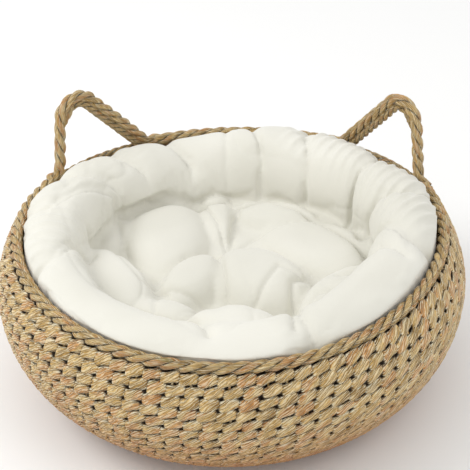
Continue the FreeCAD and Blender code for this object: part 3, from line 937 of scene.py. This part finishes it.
def read(piece, what):
    """The vertices' places (co) or directions (normal), one row for each."""
    flat = np.zeros(len(piece.data.vertices) * 3)
    piece.data.vertices.foreach_get(what, flat)
    return flat.reshape(-1, 3)


def put(piece, points):
    piece.data.vertices.foreach_set("co", points.ravel())
    piece.data.update()


def polar(points):
    """Distance from the upright axis, and bearing from +X."""
    return np.hypot(points[:, 0], points[:, 1]), np.arctan2(points[:, 1], points[:, 0])


def rise_from(start, run, values):
    """0 up to the start, then rising to 1 over the run."""
    return np.clip((values - start) / run, 0, 1)


def wall_limit(z):
    """Inside radius of the woven wall at a height."""
    limits = np.full_like(z, 1.0)
    for centre, radius, start, end, _ in WALL_ARCS:
        depth = radius - WALL_THICKNESS - 0.0008
        rise = np.clip((z - centre[1]) / depth, -1, 1)
        here = (rise >= sin(start)) & (rise <= sin(end))
        limits = np.where(here, centre[0] + depth * np.sqrt(1 - rise ** 2), limits)
    return limits


def fit_in_basket(points):
    """Keeps the cushion inside the woven wall, above the woven base and clear of the ears."""
    radius, theta = polar(points)
    ears = np.array([ear_limit(t) for t in theta])
    # at the front the cotton bulges a little over the rope's inner side
    front = np.clip(-1.8 * np.sin(theta) - 0.3, 0, 1)
    over = np.clip(points[:, 2] - RIM_HEIGHT, 0, ROPE_RADIUS * 0.9) * front
    rope = np.sqrt(ROPE_RADIUS ** 2 - over ** 2) + 0.0015
    share = np.clip((points[:, 2] - BELLY_HEIGHT) / (RIM_HEIGHT - BELLY_HEIGHT), 0, 1)
    sway = 1 + SWAY * share ** 2 * np.sin(3 * (theta - SWAY_BEARING))
    most = np.minimum(np.minimum(wall_limit(points[:, 2]) * sway, RIM_RADIUS * sway - rope), ears)
    share = np.minimum(1.0, most / np.maximum(radius, 1e-6))
    points[:, :2] *= share[:, None]
    points[:, 2] = np.maximum(points[:, 2], CUSHION_LOW.z)
    return points


def pleats(points):
    """Height of the gathered pleats on top of the bolster."""
    radius, theta = polar(points)
    theta = np.degrees(theta) % 360
    wander = smooth_noise(points, 30, 3)
    broken = np.clip(0.5 + 0.8 * smooth_noise(points, 36, 8), 0, 1)
    on_bolster = rise_from(0.142, 0.02, radius) * rise_from(0.12, 0.02, points[:, 2])
    total = np.zeros(len(points))
    for first, last, way, apart, height in PLEATS:
        middle, half = (first + last) / 2, (last - first) / 2
        away = np.abs((theta - middle + 180) % 360 - 180)
        here = np.clip((half - away) / 14, 0, 1)
        across = points[:, 1] * cos(radians(way)) - points[:, 0] * sin(radians(way))
        wave = np.sin(across / apart * 2000 * pi + 2.4 * wander)
        total += height / 1000 * here * (np.abs(1 + wave) / 2) ** 2.2
    return total * broken * on_bolster


def creases(points):
    """Depth of the sharp creases: those between the puffs, and small stray ones all over."""
    total = np.zeros(len(points))
    for depth, width, highest, *line in CREASES:
        nearest = np.full(len(points), 1.0)
        for (ax, ay), (bx, by) in zip(line, line[1:]):
            start, run = np.array([ax, ay]) / 1000, np.array([bx - ax, by - ay]) / 1000
            share = np.clip((points[:, :2] - start) @ run / (run @ run), 0, 1)
            gap = points[:, :2] - start - share[:, None] * run
            nearest = np.minimum(nearest, np.hypot(gap[:, 0], gap[:, 1]))
        deep = depth / 1000 * np.exp(-(nearest * 1000 / width) ** 1.2)
        total = np.maximum(total, deep * np.clip((highest / 1000 - points[:, 2]) / 0.012, 0, 1))
    for scale, seed, depth, sharp in ((26, 21, 0.0030, 9), (60, 34, 0.0018, 5)):
        line = np.exp(-sharp * np.abs(smooth_noise(points, scale, seed)))
        total += depth * line * np.clip(0.4 + 0.7 * smooth_noise(points, 22, seed + 1), 0, 1)
    return total


def make_cushion(cotton):
    """Bolster, core and puffs as one skin, folded, stuffed, creased and fitted in the basket."""
    parts = [bolster_ring(), inside_disc()] + [puff(*p) for p in MIDDLE_PUFFS]
    points, faces, start = [], [], 0
    for part_points, part_faces in parts:
        points.append(part_points)
        faces += [tuple(start + i for i in face) for face in part_faces]
        start += len(part_points)
    piece = mesh_object("cotton_cushion", np.vstack(points), faces)
    remesh = piece.modifiers.new("one skin", "REMESH")
    remesh.mode = "VOXEL"
    remesh.voxel_size = SKIN_GRAIN
    remesh.use_smooth_shade = True
    applied(piece)

    shape = read(piece, "co")
    radius, theta = polar(shape)
    inward = rise_from(-0.178, 0.038, -radius)
    on_bolster = rise_from(0.132, 0.012, radius) * rise_from(0.09, 0.02, shape[:, 2])
    shape -= read(piece, "normal") * (fold_depth(theta, inward) * on_bolster)[:, None]
    put(piece, shape)
    smooth = piece.modifiers.new("ease", "SMOOTH")
    smooth.factor = 0.5
    smooth.iterations = 3
    applied(piece)

    stuff(piece)
    subdivide = piece.modifiers.new("finer", "SUBSURF")
    subdivide.levels = subdivide.render_levels = 1
    applied(piece)
    shape = read(piece, "co")
    radius, theta = polar(shape)
    inward = rise_from(-0.178, 0.038, -radius)
    sharp = 0.35 * fold_depth(theta, inward, 0.3) * rise_from(0.135, 0.01, radius)
    shape += read(piece, "normal") * (pleats(shape) - creases(shape) - sharp)[:, None]
    put(piece, fit_in_basket(shape))
    piece.data.materials.clear()
    piece.data.materials.append(cotton)
    piece.data.shade_smooth()
    keep(piece, "cushion", "cushion_cover",
         "bolster_cover", "bolster_filling", "pad_cover", "pad_filling")


def stuff(piece):
    """Blows the cover up from inside with a little spare cloth, so that it puffs and wrinkles."""
    start = read(piece, "co")
    held = piece.vertex_groups.new(name="held")
    held.add([int(i) for i in np.where(start[:, 2] < HELD_BELOW)[0]], 1.0, "REPLACE")
    cloth = piece.modifiers.new("cloth", "CLOTH")
    for name, value in {
            "quality": 5, "mass": 0.15, "use_pressure": True, "uniform_pressure_force": 3.0,
            "shrink_min": -0.05, "tension_stiffness": 12, "compression_stiffness": 12,
            "shear_stiffness": 4, "bending_stiffness": 0.2,
            "vertex_group_mass": "held"}.items():
        setattr(cloth.settings, name, value)
    cloth.settings.effector_weights.gravity = 0
    cloth.collision_settings.use_collision = False
    scene = bpy.context.scene
    for number in range(1, 21):
        scene.frame_set(number)
    applied(piece)
    scene.frame_set(1)
    move = read(piece, "co") - start
    far = np.linalg.norm(move, axis=1)
    move *= np.minimum(1.0, MOST_PUFF / np.maximum(far, 1e-9))[:, None]
    put(piece, fit_in_basket(start + move))
    piece.vertex_groups.clear()


# --- floor, light and camera ---

def lay_floor():
    bpy.ops.mesh.primitive_plane_add(size=8)
    floor = bpy.context.object
    floor.name = "studio_floor"
    floor.data.materials.append(new_material("pale studio floor", {
        "Base Color": colour("#F4F4F3"), "Roughness": 0.9})[0])


def area_light(name, place, aim, size, power):
    light = bpy.data.lights.new(name, "AREA")
    light.shape = "DISK"
    light.size = size
    light.energy = power
    made = placed(name, light)
    made.location = place
    made.rotation_euler = (Vector(aim) - Vector(place)).to_track_quat("-Z", "Y").to_euler()


def light_studio():
    world = bpy.data.worlds.new("pale studio")
    world.use_nodes = True
    background = world.node_tree.nodes["Background"]
    background.inputs["Color"].default_value = colour("#FFFFFF")
    background.inputs["Strength"].default_value = 0.88
    bpy.context.scene.world = world
    area_light("key", (-1.5, -0.3, 1.7), (0, 0, 0.1), 1.2, 19)
    area_light("fill", (1.2, -0.9, 2.0), (0, 0, 0.1), 1.2, 6)


def place_camera():
    elevation, bearing, roll, distance = radians(32.88), radians(5.4), radians(-1.74), 1.44
    aim = Vector((0, 0, 0.1571))
    back = Vector((sin(bearing) * cos(elevation), -cos(bearing) * cos(elevation), sin(elevation)))
    data = bpy.data.cameras.new("camera")
    data.lens = 108.2
    data.sensor_width = 36
    data.shift_x = 0.0106
    camera = placed("camera", data)
    level = (-back).to_track_quat("-Z", "Y").to_matrix()
    camera.rotation_euler = (level @ Matrix.Rotation(roll, 3, "Z")).to_euler()
    camera.location = aim + back * distance
    bpy.context.scene.camera = camera


def main():
    bpy.context.scene.view_settings.view_transform = "Standard"
    place_camera()
    lay_floor()
    light_studio()
    # the last number sets how dark the painted shade in the leaf slits is
    wall_rush = dried_rush("twined rush leaf", 0.8, 0.95)
    rope_rush = dried_rush("laid rush rope", 0.0, 0.55)
    stake_rush = dried_rush("rush stake", 0.0, 0.9)
    wire = galvanised_wire()
    row, rods, rope = twined_row_tree(), rods_tree(), laid_rope_tree()
    weave_rows(row, wall_rush)
    weave_base(row, wall_rush)
    plant_stakes(rods, stake_rush)
    coil_centre(rope, rope_rush)
    lay_ropes(rope, rope_rush)
    lay_ear_trims(rope, rods, rope_rush, wire)
    make_cushion(brushed_cotton())


main()
